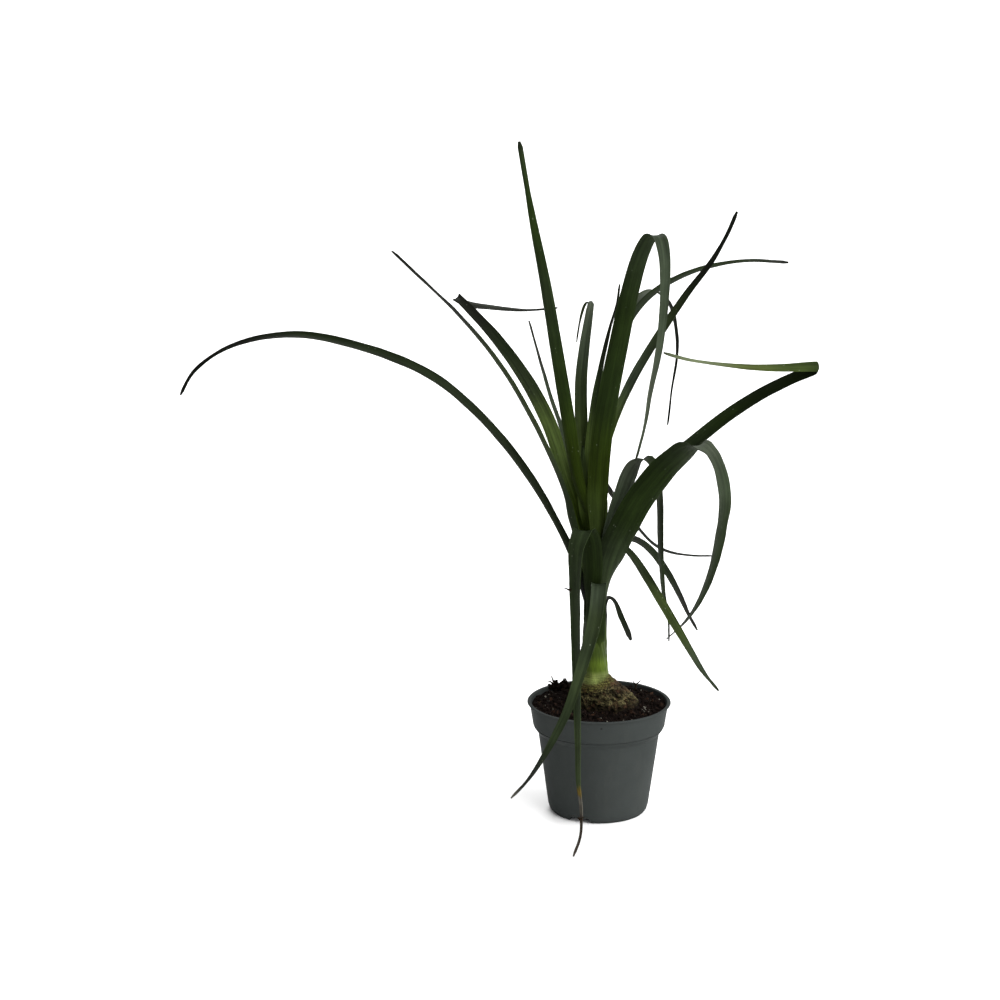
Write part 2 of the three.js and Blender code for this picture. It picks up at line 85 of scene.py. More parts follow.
# Level rings of the corky foot and the stem: height, middle x, radius, depth of the bark
TRUNK_RINGS = [
    (60, 7, 5, 0), (63, 7, 13, 0.2), (70, 7.5, 20.5, 0.3), (78, 8, 24.6, 0.4),
    (86, 8, 26.2, 0.6), (93, 7, 25.4, 1.2), (99, 5, 22.8, 1.5), (104, 3, 19.8, 1.5),
    (109, 0.6, 16.6, 1.1), (113, -1.4, 14, 0.5), (116.5, -2.8, 12.2, 0.2), (117.5, -3.1, 11.2, 0),
    (121, -3.4, 11, 0), (122, -3.6, 10.7, 0), (130, -4, 9.9, 0), (150, -4.2, 9.3, 0),
    (182, -4.2, 7.26, 0), (222, -4.2, 4.71, 0), (255, -4.2, 2.6, 0), (264, -4.3, 2.7, 0),
    (274, -4.9, 3.6, 0), (290, -5.2, 3.2, 0), (308, -5.4, 0.9, 0),
]

BLADE = Values(
    thickness=0.6, widening=0.1, clasp=(0, 8, 16), lift=0.45, lean=0.15, step=2.4, columns=13,
    samples=40, sink=2.5, fringe=0.4, channel=0.03, rib=0.16, rib_width=1.4,
)

# Each leaf in the solids' order: its name, the bearing and height at which it leaves the stem, the
# widths of its clasp and blade, and its route as rows of x, y, z and the bearing of its width,
# then its tilt where it has one
LEAVES = [
    ("left_arch", 158, 166, 13, 13, [[-18, 8, 204, 228], [-33, 14, 236, 255, -10],
     [-59, 24, 280, 258, -18], [-98, 36, 327, 260, -20], [-140, 46, 361, 260, -24],
     [-198, 54, 384, 260, -28], [-256, 59, 394, 264, -34], [-307, 62, 384, 278, -38],
     [-338, 64, 363, 294, -38], [-351, 65, 342, 308, -34]]),
    ("left_slim", 214, 182, 8, 9, [[-24.5, -9, 254, 318], [-30, -12, 275, 300], [-50, -26, 325, 302],
     [-82, -47, 386, 308], [-117, -66, 433, 314], [-145, -80, 463, 318], [-166, -90, 485, 320]]),
    ("left_folded", 155, 198, 9.5, 15, [[-21.5, 7, 260, 205], [-29, 12, 283, 218], [-42, 28, 322, 215],
     [-61, 46, 357, 208], [-86, 66, 389, 204], [-104, 80, 407, 206, -5], [-117, 88, 419, 222, -15],
     [-119, 93, 420, 238, -25], [-112, 97, 415, 245, -30], [-91, 100, 411, 250, -32],
     [-61, 102, 408, 250, -34], [-34, 101, 410, 250, -34]]),
    ("small_left", 185, 246, 4.6, 7, [[-26, 6, 299, 255], [-32.5, 14, 323, 242], [-42.5, 28, 351, 236],
     [-52, 40, 384, 230], [-59, 48, 408, 230]]),
    ("tall", 235, 230, 8, 12, [[-20, -12, 287, 325], [-29, -22, 343, 340], [-38, -31, 397, 340],
     [-47, -40, 451, 343], [-58, -50, 508, 350], [-68, -60, 566, 350]]),
    ("centre_folded", 132, 230, 5.6, 11, [[-10.5, 6, 266, 205], [-14, 12, 289, 195],
     [-16, 23, 329, 190], [-16, 32, 361, 187], [-13, 41, 389, 187], [-9, 49, 415, 195],
     [-8, 53, 422, 220], [-11, 57, 421, 240], [-16, 58, 407, 240], [-19, 58, 388, 240]]),
    ("back_right", 85, 246, 4.6, 8, [[-9, 10, 294, 160], [-5.5, 20, 338, 145], [1, 30, 374, 130],
     [8, 40, 403, 130], [14, 46, 424, 130], [16, 50, 438, 130]]),
    ("main_front", 288, 214, 11, 17.5, [[-2.8, -9.5, 250, 14], [-2.8, -13, 270, 12], [-1, -21, 314, 5],
     [4, -29, 356, 5], [11, -37, 398, 5], [20, -50, 448, 5], [28, -62, 480, 5], [35, -72, 494, 8],
     [40, -82, 494, 18], [43, -90, 481, 30], [43, -96, 448, 38], [40, -98, 413, 38], [34, -96, 378, 38],
     [30, -90, 347, 38], [24, -80, 318, 38]]),
    ("right_upright", 355, 246, 5, 9, [[1, 1, 284, 90], [9, 8, 324, 130], [24, 20, 359, 145],
     [47, 34, 396, 148], [72, 47, 431, 152], [92, 56, 456, 158], [105, 62, 478, 162],
     [113, 66, 496, 162]]),
    ("right_arch", 50, 230, 5.4, 9.5, [[-4, 14, 289, 125], [2, 29, 336, 122], [12, 44, 376, 120, 5],
     [25, 60, 405, 120, 12], [40, 74, 422, 118, 20], [58, 87, 433, 114, 26], [79, 98, 441, 108, 32],
     [102, 107, 446, 104, 38], [128, 116, 448, 100, 42], [163, 126, 445, 100, 42]]),
    ("back_droop", 88, 214, 5.8, 10, [[-5, 22, 287, 165], [4, 43, 334, 160], [17, 66, 380, 155],
     [30, 86, 414, 150, 5], [41, 98, 423, 146, 10], [50, 108, 422, 136, 10], [61, 117, 411, 122, 5],
     [67, 124, 391, 114], [69, 127, 365, 112], [65, 127, 334, 112], [62, 124, 304, 112]]),
    ("right_folded", 16, 214, 5.8, 12.5, [[5, 5, 240, 108, 5], [21, 10, 261, 105, 25],
     [46, 17, 287, 100, 40], [75, 24, 308, 100, 48], [104, 34, 329, 100, 50], [133, 44, 346, 98, 52],
     [162, 52, 359, 95, 60], [180, 54, 366, 92, 72], [182, 49, 369, 90, 78], [174, 45, 370, 90, 70],
     [149, 40, 370, 90, 55], [119, 34, 372, 90, 46], [90, 28, 376, 90, 40], [70, 24, 380, 90, 40],
     [51, 20, 386, 90, 40]]),
    ("broad_front", 337, 166, 12, 25, [[5, -7, 203, 38], [8.5, -11, 220, 16], [12.5, -15, 233, 4],
     [18.5, -22, 248, 0], [27, -29, 267, 2], [37, -35, 284, 2], [48, -41, 300, 2], [61, -49, 314.5, 4],
     [68, -55, 322, 10], [75, -60, 325, 30], [82, -63.5, 321, 64], [88, -65.5, 311, 64],
     [92, -65, 298, 60], [94.5, -62, 280, 58], [92.5, -54, 252, 57], [88.5, -42, 222, 55],
     [81.5, -27, 193, 51], [71, -12, 168, 46], [56, 0, 148, 40]]),
    ("right_bent", 336, 198, 8, 14, [[6, -6, 240, 60], [13, -8, 261, 34], [18, -9, 275, 22],
     [23, -10, 290, 18], [29, -11.5, 300.5, 34], [36.5, -14, 304, 56], [43, -17, 295, 64],
     [46, -17, 271, 66], [47, -14, 245, 66], [49, -9, 214, 66], [52, -3, 187, 66], [57, 2, 164, 66],
     [58, 4, 145, 66]]),
    ("back_slim", 84, 198, 6.6, 8, [[-3, 20, 249, 175], [-3, 32, 270, 145, 4], [1, 44, 276, 100, 16],
     [9, 55, 262, 64, 22], [20, 61, 245, 80, 30], [34, 65, 227, 94, 32], [47, 67, 213, 94, 34],
     [60, 67, 206, 94, 32], [79, 65, 203, 96, 26], [99, 63, 203, 98, 22]]),
    ("back_right", 66, 182, 7.4, 9.5, [[4, 16, 212, 140], [10, 27, 222, 135, 5], [20, 38, 224, 115, 10],
     [32, 47, 220, 92, 20], [43, 54, 211, 76, 26], [55, 60, 195, 64, 28], [69, 62, 171, 58, 28],
     [78, 62, 152, 56, 28], [86, 60, 138, 56, 28]]),
    ("right_droop", 4, 182, 6.5, 11.5, [[7, 2, 203, 90], [10.5, 3.5, 217, 86], [16, 4, 226, 76],
     [23, 0, 222, 64], [38, -10, 202, 52], [51, -20, 182, 48], [72, -29, 148, 42], [85, -32, 128, 36],
     [97, -35, 114, 34]]),
    ("low_right", 35, 150, 11, 7.5, [[4.5, 9, 176, 125], [7, 12, 180, 112, 4],
     [11.5, 14, 177.5, 84, 14], [18, 16, 163.5, 46, 24], [23.5, 16, 151, 40, 24],
     [27, 15, 142.5, 38, 24]]),
    ("front_long", 255, 166, 12, 16.5, [[-7, -14, 194, -10], [-7, -18, 219, -5], [-9, -23, 238, 0],
     [-13, -29, 247, 0], [-16, -38, 249, -15], [-20, -45, 238, -40], [-21, -50, 212, -55],
     [-20.5, -54, 180, -58], [-20, -58, 147, -58], [-19.5, -66, 116, -58], [-19, -75, 85, -58],
     [-19, -82, 53, -58], [-17, -90, 29, -52], [-18, -102, 13, -35], [-24, -118, 1.5, -10]]),
    ("front_short", 290, 150, 12.6, 12.5, [[-1.2, -15, 186, 10], [-1.5, -20, 197, 5],
     [-2.2, -29, 203, 5], [-3, -39, 198, 5], [-6, -51, 180.5, 12], [-11, -62, 164, 18],
     [-16.5, -70, 148, 22], [-22, -76, 131, 22], [-28.5, -80, 112.5, 20], [-38, -85, 93, 16],
     [-49.5, -90, 73, 8], [-60.5, -93, 57, 0], [-74, -94, 42, -6]]),
]

# Sheaths on the stem: bearing, lowest and highest height, half width in degrees
SHEATHS = [
    (288, 119, 152, 62), (35, 121, 150, 70), (160, 122, 166, 75), (335, 124, 170, 48),
    (250, 126, 168, 50), (90, 128, 182, 60), (210, 134, 184, 45), (20, 140, 190, 45),
]

# The pale edge of a sheath that climbs the stem: its bearing at a height, degrees per mm
SEAM = Values(bearing=309, height=141, slope=1.18)
# The rings of scars on the collar are this far apart, and a shine is painted on its front left
SCAR_STEP = 1.7
PAINTED_SHINE = Values(bearing=263, spread=16)
# The stem's greens on a screen, and the heights between which each takes over
STEM_GREENS = [((82, 100, 32), 118, 124), ((56, 70, 25), 127, 138), ((50, 64, 20), 165, 195)]

# Peat heaped against the rim at the back left: middle, half spread and how many crumbs
HEAP = Values(place=(-30, 41, 93.5), spread=(11, 4, 8), count=260)
# Twigs at the back of the pot, a knot on leaf 19's dry tip and a hook at its edge: way and radius
TWIGS = [
    ([(30, 36, 89), (32, 36.5, 93), (33, 37, 97), (35.5, 37.5, 99), (37, 38, 101)], 1),
    ([(33, 37, 96), (31, 38, 98.5), (30.5, 38, 100)], 0.8),
    ([(-35, 40, 94), (-37, 40, 98), (-39, 40, 103.5)], 1.5),
    ([(-37, 40, 96), (-40, 40, 98.5), (-42.5, 40, 99)], 1),
    ([(-18.8, -93.6, 23.8), (-17.3, -94.7, 24.6), (-15.1, -93.6, 25.8)], 0.9),
    ([(-19.7, -93.6, 25.4), (-17.3, -94.7, 24.2), (-15.5, -93.6, 23)], 0.8),
    ([(-25.2, -50, 204.2), (-27.5, -50.2, 204.2), (-29, -50.4, 205.2), (-31, -50.6, 205.4)], 1.1),
]
# Where perlite lies thick on the soil: middle, spread and how many
PERLITE = [((39, -17), 5.5, 26), ((-5, -27.5), 1.5, 3), ((0, -40), 2, 5)]
# Pale hairs of torn cork on the right of the swollen foot: middle, half spread, how many
HAIRS = Values(place=(24, -12, 96), spread=(7, 4, 4), count=26)

# The sky is brighter on the right, a soft sun stands low on that side, and a weaker one high
# behind the plant clears the shadow on the floor
SKY = Values(left=0.2, right=1.7)
KEY = Values(name="key", strength=4.6, size=72, bearing=-32, height=30)
BACK = Values(name="back", strength=1.9, size=25, bearing=97, height=52)

# What the blades' greens look like on a screen in that light. Some hold painted light and shade:
# shade and deep paint the shade on faces and bases that lie in it, grey and mist paint the sheen of
# lit upper faces on top of their waxy bloom, and glow and bright paint light onto leaf bases that
# lie in shade
GREENS = {
    "shade": (25, 32, 17), "glow": (84, 104, 36), "bright": (97, 116, 60), "fern": (60, 70, 52),
    "olive": (38, 49, 15), "deep": (34, 45, 21), "green": (38, 47, 29),
    "moss": (44, 53, 35), "sage": (53, 63, 40), "lime": (62, 75, 38), "grey": (67, 77, 60),
    "mist": (80, 87, 73), "yellow": (82, 92, 50), "pale": (99, 107, 80), "dusk": (32, 34, 28),
    "slate": (50, 52, 47), "straw": (112, 108, 98), "amber": (128, 108, 48), "umber": (80, 72, 64),
}
LEAF_BASE = (55, 68, 27)
# Each leaf's tones, evenly spaced from the top of its clasp to its tip, on its upper face and
# on its under face where that differs, and whatever else sets it apart from a plain leaf. The
# tones paint shade on under faces and sheen on lit upper faces; light scales a leaf's colours to
# paint in light or shade, and slant paints one half of a folded blade lighter and the other darker.
# The last are the tones of the heart's blades
PLAIN = dict(
    tip="dusk", dry_from=0.965, light=1, ripple=0.35, point=5, foot=14, taper=2.6, tip_width=2.6,
    wider=1, stripe=0.12, slant=0, shrunk=0, bands=(),
)
STYLES = {
    1: dict(upper="shade deep moss moss green green dusk dusk", under="olive deep green green dusk",
        dry_from=0.94, light=0.87, wider=1.12, taper=2.3, tip_width=3.2),
    2: dict(upper="lime sage grey sage slate dusk", under="olive green sage sage slate dusk", taper=4,
        tip_width=4.2),
    3: dict(upper="bright glow bright bright sage green dusk dusk slate dusk",
        under="bright glow glow bright green green slate slate slate dusk", wider=1.12, taper=1.9,
        tip_width=1.8),
    4: dict(upper="glow bright grey grey slate slate", taper=2.1, tip_width=2.2),
    5: dict(upper="olive olive deep green deep green", light=1.3, taper=2.7, tip_width=4),
    6: dict(upper="glow bright lime sage grey mist slate", under="glow lime green green sage sage dusk",
        taper=3.2),
    7: dict(upper="lime lime green dusk dusk", under="lime olive green dusk dusk", light=2.2, taper=2.2,
        tip_width=2.2),
    8: dict(upper="lime olive deep deep moss grey grey mist grey",
        under="lime olive deep deep moss grey grey grey", taper=2, tip_width=2.2),
    9: dict(upper="bright bright grey sage dusk dusk", taper=3.2, tip_width=3),
    10: dict(upper="olive green sage fern green moss slate", under="olive deep green green dusk",
        light=1.2, taper=2.4, tip_width=3),
    11: dict(upper="olive green sage mist mist slate", under="olive green green sage dusk dusk dusk",
        taper=3.2, tip_width=3.2),
    12: dict(upper="olive green moss green deep shade shade lime pale pale pale",
        under="olive green moss green deep shade shade lime yellow pale pale", taper=2.2, tip_width=3),
    13: dict(upper="sage green deep green mist fern moss green green moss",
        under="sage moss deep deep moss sage moss green green moss", ripple=0.5, stripe=0.25,
        slant=0.28, taper=2.9),
    14: dict(upper="moss moss moss moss sage shade shade green moss dusk",
        under="grey grey grey mist moss shade green sage sage dusk", wider=1.08, taper=3.2),
    15: dict(upper="green green dusk dusk slate slate", under="green green slate slate slate slate",
        taper=1.9, tip_width=2),
    16: dict(upper="green green slate moss moss slate slate", under="olive deep green green dusk",
        light=0.75, wider=1.1, taper=3.4),
    17: dict(upper="green deep sage lime lime fern fern", wider=1.05, taper=3.2),
    18: dict(upper="green dusk green slate", tip="slate", tip_width=5, point=6),
    19: dict(upper="shade green moss moss green moss sage sage sage",
        under="shade shade deep moss moss moss", dry_from=2, light=1.7, taper=1.9, shrunk=0.2,
        bands=((0.82, "amber"), (0.843, "straw"), (0.885, "umber"))),
    20: dict(upper="moss moss grey sage moss sage moss moss slate slate",
        under="deep moss sage sage moss moss", tip="straw", dry_from=0.95, taper=1.9, tip_width=2),
    21: dict(upper="olive lime green", light=2.1),
}
# Short young blades in the heart of the plant, laid out like the leaves
HEART = [
    ("heart_left", 200, 222, 9, 11, [[-10, -1, 246, 0], [-13, -1, 262, 0], [-15, 0, 285, 0],
     [-15, 2, 312, 0]]),
    ("heart_right", 262, 232, 7, 8, [[-5, -3.5, 258, 0], [-6, -4, 270, 0], [-7, -4, 285, 0]]),
    ("heart_front", 330, 224, 5, 7, [[0.5, -5.5, 245, 0], [2.2, -7, 257, 0], [3.2, -8, 268, 0],
     [3.4, -8.5, 277, 0]]),
]
# The white surroundings lay this much light over a surface's own colour, and multiply that
HAZE = 0.003
GAIN = {"under": 1.95, "upper": 2.6}

# ---- Helpers ----


def screen(red, green, blue):
    """A colour as a screen shows it, 0 to 255, in the linear values that a shader takes"""
    def linear(value):
        share = value / 255
        return share / 12.92 if share <= 0.04045 else ((share + 0.055) / 1.055) ** 2.4
    return np.array([linear(red), linear(green), linear(blue)])


def shown(red, green, blue, gain=GAIN["under"]):
    """The colour that shows as the given screen colour in this light"""
    return np.maximum(screen(red, green, blue) - HAZE, 0.001) / gain


def smooth(value, low, high):
    share = min(max((value - low) / (high - low), 0), 1)
    return share * share * (3 - 2 * share)


def blend(first, second, share):
    return first * (1 - share) + second * share


def rough(x, y, z, size, seed=0.0):
    """A soft random value between about -1 and 1 that changes over the given length"""
    shift = (17.3 * seed, -9.1 * seed, 5.7 * seed)
    return noise.noise(Vector(c / size + by for c, by in zip((x, y, z), shift)))


def heading(bearing, rise):
    """The way in which a bearing and a rise in degrees point"""
    turn, up = radians(bearing), radians(rise)
    return Vector((cos(turn) * cos(up), sin(turn) * cos(up), sin(up)))


def circle(radius, sides):
    """Points evenly spaced round the origin"""
    angles = (2 * pi * k / sides for k in range(sides))
    return [(radius * cos(angle), radius * sin(angle)) for angle in angles]


def ring_faces(rings, sides):
    """Quads between rings of points that follow one another"""
    faces = []
    for i in range(rings - 1):
        for k in range(sides):
            a, b = i * sides + k, i * sides + (k + 1) % sides
            faces.append((a, b, b + sides, a + sides))
    return faces


def tube_faces(rings, sides):
    """The faces of a tube of rings, closed at both ends"""
    end = (rings - 1) * sides
    caps = [tuple(reversed(range(sides))), tuple(range(end, end + sides))]
    return ring_faces(rings, sides) + caps


def placed(name, data):
    """A new object of the scene"""
    made = bpy.data.objects.new(name, data)
    bpy.context.scene.collection.objects.link(made)
    return made


def shade(mesh, sharp):
    """Smooth faces with creases beyond an angle, or flat ones where no angle is given"""
    mesh.polygons.foreach_set("use_smooth", [sharp is not None] * len(mesh.polygons))
    if sharp:
        mesh.set_sharp_from_angle(angle=radians(sharp))


def mesh_object(name, points, faces, material, sharp=None, tones=None, places=None):
    """An object from points in millimetres, with a colour and a place kept for its shader"""
    mesh = bpy.data.meshes.new(name)
    mesh.from_pydata([tuple(c * MM for c in point) for point in points], [], faces)
    mesh.validate()
    shade(mesh, sharp)
    if tones is not None:
        opaque = np.hstack([np.array(tones), np.ones((len(tones), 1))])
        layer = mesh.attributes.new("tone", "FLOAT_COLOR", "POINT")
        layer.data.foreach_set("color", opaque.ravel())
    if places is not None:
        layer = mesh.attributes.new("place", "FLOAT_VECTOR", "POINT")
        layer.data.foreach_set("vector", np.array(places).ravel())
    mesh.materials.append(material)
    return placed(name, mesh)


def belongs(piece, node=None):
    """Tells the frame a piece's body and the solid that it replaces"""
    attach(piece, "root")
    if node:
        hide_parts(node)


class Nodes:
    """A node tree under construction"""

    def __init__(self, tree):
        self.nodes, self.links = tree.nodes, tree.links

    def put(self, socket, value):
        if isinstance(value, bpy.types.NodeSocket):
            self.links.new(value, socket)
        elif isinstance(value, np.ndarray):
            socket.default_value = (*value, 1)
        else:
            socket.default_value = value

    def node(self, kind, output=0, inputs=(), **settings):
        """One output of a new node, its inputs given in their order or by their names"""
        made = self.nodes.new("ShaderNode" + kind)
        for key, value in settings.items():
            setattr(made, key, value)
        for key, value in inputs.items() if isinstance(inputs, dict) else enumerate(inputs):
            self.put(made.inputs[key], value)
        return made.outputs[output]

    def times(self, *values):
        return self.node("Math", 0, values, operation="MULTIPLY")

    def plus(self, *values):
        return self.node("Math", 0, values, operation="ADD")

    def ranged(self, *values):
        """A value carried from one range to another, which is 0 to 1 where it isn't given"""
        return self.node("MapRange", 0, values)

    def stretched(self, *values):
        return self.node("VectorMath", 0, values, operation="MULTIPLY")

    def noise(self, where, scale, detail=3.0, roughness=0.55):
        """Soft noise, at one scale or at one for each axis"""
        if isinstance(scale, tuple):
            where, scale = self.stretched(where, scale), 1.0
        inputs = {"Vector": where, "Scale": scale, "Detail": detail, "Roughness": roughness}
        return self.node("TexNoise", 0, inputs)

    def cells(self, where, scale, **settings):
        inputs = {"Vector": self.stretched(where, scale), "Scale": 1}
        return self.node("TexVoronoi", 0, inputs, **settings)

    def mixed(self, share, first, second, mode="MIX"):
        inputs = {0: share, 6: first, 7: second}
        return self.node("Mix", 2, inputs, data_type="RGBA", blend_type=mode)

    def grey(self, value):
        return self.node("CombineColor", 0, [value] * 3)


class Shader(Nodes):
    """A material under construction, for a mesh that keeps a tone and a place at each point"""

    def __init__(self, name, roughness=0.5, gloss=0.5):
        self.material = bpy.data.materials.new(name)
        self.material.use_nodes = True
        super().__init__(self.material.node_tree)
        self.surface = self.nodes["Principled BSDF"].inputs
        self.surface["Roughness"].default_value = roughness
        self.surface["Specular IOR Level"].default_value = gloss

    def tone(self):
        return self.node("Attribute", attribute_name="tone")

    def place(self):
        return self.node("Attribute", 1, attribute_name="place")

    def finish(self, colour, roughness=None, relief=None, depth=0.0, strength=1.0):
        """The material in a colour, with a relief of the given depth in metres"""
        self.put(self.surface["Base Color"], colour)
        if roughness is not None:
            self.put(self.surface["Roughness"], roughness)
        if relief is not None:
            inputs = {"Height": relief, "Distance": depth, "Strength": strength}
            self.put(self.surface["Normal"], self.node("Bump", 0, inputs))
        return self.material


# ---- Materials ----


def leaf_material():
    """Satin blade: parallel veins and streaks, soft blotches, dried water specks and dust"""
    leaf = Shader("leaf_blade", gloss=0.018)
    place = leaf.place()
    veins = leaf.noise(place, (1.7, 0.03, 1), 2, 0.6)
    fine = leaf.noise(place, (4.5, 0.05, 1), 1)
    blotch = leaf.noise(place, (0.09, 0.035, 1), 4)
    streaks = leaf.noise(place, (0.42, 0.006, 1), 3, 0.6)
    light = leaf.times(leaf.ranged(veins, 0.3, 0.7, 0.8, 1.22),
                       leaf.ranged(fine, 0.3, 0.7, 0.92, 1.08))
    light = leaf.times(light, leaf.ranged(blotch, 0.3, 0.7, 0.84, 1.16))
    light = leaf.times(light, leaf.ranged(streaks, 0.32, 0.68, 0.72, 1.3))
    colour = leaf.mixed(1, leaf.tone(), leaf.grey(light), "MULTIPLY")
    specks = leaf.ranged(leaf.cells(place, (0.3, 0.16, 1)), 0.05, 0.13, 0.5, 0)
    some = leaf.ranged(leaf.noise(place, (0.05, 0.02, 1), 2), 0.5, 0.62, 0, 1)
    colour = leaf.mixed(leaf.times(specks, some), colour, screen(120, 128, 110))
    dust = leaf.noise(place, (0.6, 0.3, 1), 5, 0.7)
    ribs = leaf.plus(leaf.times(veins, 0.7), leaf.times(fine, 0.3))
    return leaf.finish(colour, leaf.ranged(dust, 0.3, 0.7, 0.38, 0.56), ribs, 0.00022, 0.8)


def bark_material():
    """Cork on the swollen foot and smooth ribbed sheaths on the stem, told apart by height"""
    bark = Shader("corky_bark", gloss=0.05)
    tone, place = bark.tone(), bark.place()
    cork = bark.ranged(bark.node("SeparateXYZ", 2, [place]), 112, 116, 1, 0)
    cracks = bark.cells(place, (0.36, 0.36, 0.66), feature="DISTANCE_TO_EDGE")
    grains = bark.noise(place, (1.1, 1.1, 1.6), 6, 0.7)
    patches = bark.noise(place, (0.16, 0.16, 0.2), 4)
    ribs = bark.noise(place, (1.4, 1.4, 0.03), 3)
    light = bark.grey(bark.ranged(grains, 0.3, 0.72, 0.15, 2.1))
    corky = bark.mixed(1, tone, light, "MULTIPLY")
    corky = bark.mixed(bark.ranged(patches, 0.52, 0.66, 0, 0.5), corky, screen(70, 48, 34))
    # The cracks are darkened: partly their own colour, partly painted shade
    corky = bark.mixed(bark.ranged(cracks, 0, 0.12, 0.85, 0), corky, screen(16, 12, 8))
    light = bark.grey(bark.ranged(ribs, 0.3, 0.7, 0.76, 1.24))
    sheath = bark.mixed(1, tone, light, "MULTIPLY")
    relief = bark.times(bark.plus(bark.ranged(cracks, 0, 0.12), bark.times(grains, 1.2)), cork)
    relief = bark.plus(relief, bark.times(ribs, 0.35))
    gloss = bark.ranged(cork, 0, 1, 0.42, 0.86)
    return bark.finish(bark.mixed(cork, sheath, corky), gloss, relief, 0.0008, 0.9)


def pot_material():
    """Satin injection-moulded plastic with handling marks, a gate mark and a soft grain"""
    pot = Shader("pot_plastic", gloss=0.006)
    where = pot.node("TexCoord", 3)
    wide = pot.noise(where, 22, 4)
    smears = pot.noise(where, (40, 40, 9), 5, 0.65)
    scratches = pot.noise(where, (900, 900, 60), 2)
    grain = pot.noise(where, 2600, 2)
    gate = (where, [c * MM for c in POT.gate])
    gate = pot.node("VectorMath", 1, gate, operation="DISTANCE")
    colour = pot.mixed(pot.ranged(wide, 0.3, 0.7), screen(43, 46, 45), screen(48, 51, 50))
    for share, mark in (
            (pot.ranged(smears, 0.55, 0.75, 0, 0.14), screen(62, 62, 57)),
            (pot.ranged(scratches, 0.66, 0.76, 0, 0.15), screen(68, 70, 68)),
            (pot.ranged(gate, 0.0006, 0.0012, 0.6, 0), screen(18, 18, 17))):
        colour = pot.mixed(share, colour, mark)
    relief = pot.plus(grain, pot.times(scratches, 0.6))
    return pot.finish(colour, pot.ranged(smears, 0.3, 0.7, 0.4, 0.55), relief, 0.00006, 0.6)


def crumb_material(name, dark, light, roughness, scale):
    """Loose bits of one stuff, each a little different from the next"""
    crumb = Shader(name, roughness, 0.02)
    grain = crumb.noise(crumb.node("TexCoord", 3), scale, 5, 0.7)
    colour = crumb.mixed(crumb.ranged(grain, 0.3, 0.7), screen(*dark), screen(*light))
    colour = crumb.mixed(1, colour, crumb.tone(), "MULTIPLY")
    return crumb.finish(colour, None, grain, 0.0006, 0.9)


# ---- Pot ----


def pot_profile():
    """The pot's section from the middle of its underside, up the outside and down inside"""
    foot_inner = POT.foot_radius - POT.foot_width
    inner, floor_edge = POT.band_radius - POT.wall, POT.body_radius - POT.wall
    lip, turn = POT.lip_radius, POT.lip_round
    return [
        (0, 0), (POT.pad_radius, 0), (POT.pad_radius + 1, POT.floor_bottom),
        (foot_inner - 0.8, POT.floor_bottom), (foot_inner, 0), (POT.foot_radius, 0),
        (POT.foot_radius + 1.8, 2.2), (POT.body_radius, POT.body_bottom),
        *POT.step[:0:-1], *POT.groove, POT.step[0], (POT.band_radius, POT.lip_bottom),
        (lip - turn, POT.lip_bottom), (lip, POT.lip_bottom + turn), (lip, POT.height - turn),
        (lip - turn, POT.height), (inner + turn, POT.height), (inner, POT.height - turn),
        (inner, POT.lip_bottom), *((radius - POT.wall, height) for radius, height in POT.step),
        (floor_edge + 0.3, POT.floor_top + 2.8), (floor_edge - 1.7, POT.floor_top + 0.5),
        (floor_edge - 3.5, POT.floor_top), (0, POT.floor_top),
    ]


def eased(profile, reach, steps=3):
    """The profile with each corner cut by a small curve of the given reach"""
    points = [Vector(point) for point in profile]
    out = [points[0]]
    for before, corner, after in zip(points, points[1:], points[2:]):
        back, ahead = before - corner, after - corner
        size = min(reach, 0.42 * back.length, 0.42 * ahead.length)
        start, end = corner + back.normalized() * size, corner + ahead.normalized() * size
        for i in range(steps + 1):
            share = i / steps
            out.append(start.lerp(corner, share).lerp(corner.lerp(end, share), share))
    return out + [points[-1]]


def turned(profile, sides):
    """A closed body turned about the vertical from radii and heights, both ends at the axis"""
    points = [(0, 0, profile[0][1])]
    for radius, height in profile[1:-1]:
        points += [(x, y, height) for x, y in circle(radius, sides)]
    points.append((0, 0, profile[-1][1]))
    rings = len(profile) - 2
    faces = [tuple(1 + id for id in face) for face in ring_faces(rings, sides)]
    last, top = len(points) - 1, 1 + (rings - 1) * sides
    for k in range(sides):
        faces.append((0, 1 + (k + 1) % sides, 1 + k))
        faces.append((last, top + k, top + (k + 1) % sides))
    return points, faces


def cut(piece, cutters):
    """Takes the cutters away from the piece for good"""
    for cutter in cutters:
        tool = piece.modifiers.new("cut", "BOOLEAN")
        tool.operation, tool.solver, tool.object = "DIFFERENCE", "EXACT", cutter
    bpy.context.view_layer.update()
    ready = piece.evaluated_get(bpy.context.evaluated_depsgraph_get())
    result = bpy.data.meshes.new_from_object(ready)
    piece.modifiers.clear()
    piece.data = result
    for cutter in cutters:
        bpy.data.objects.remove(cutter)


def prism(name, outline, low, high, matrix, material):
    """A straight body from an outline in its own XY, placed by a matrix in millimetres"""
    points = [matrix @ Vector((x, y, z)) for z in (low, high) for x, y in outline]
    return mesh_object(name, points, tube_faces(2, len(outline)), material)


def stood(bearing, reach):
    """A place at a bearing in radians and a reach from the axis"""
    return Matrix.Rotation(bearing, 4, "Z") @ Matrix.Translation((reach, 0, 0))


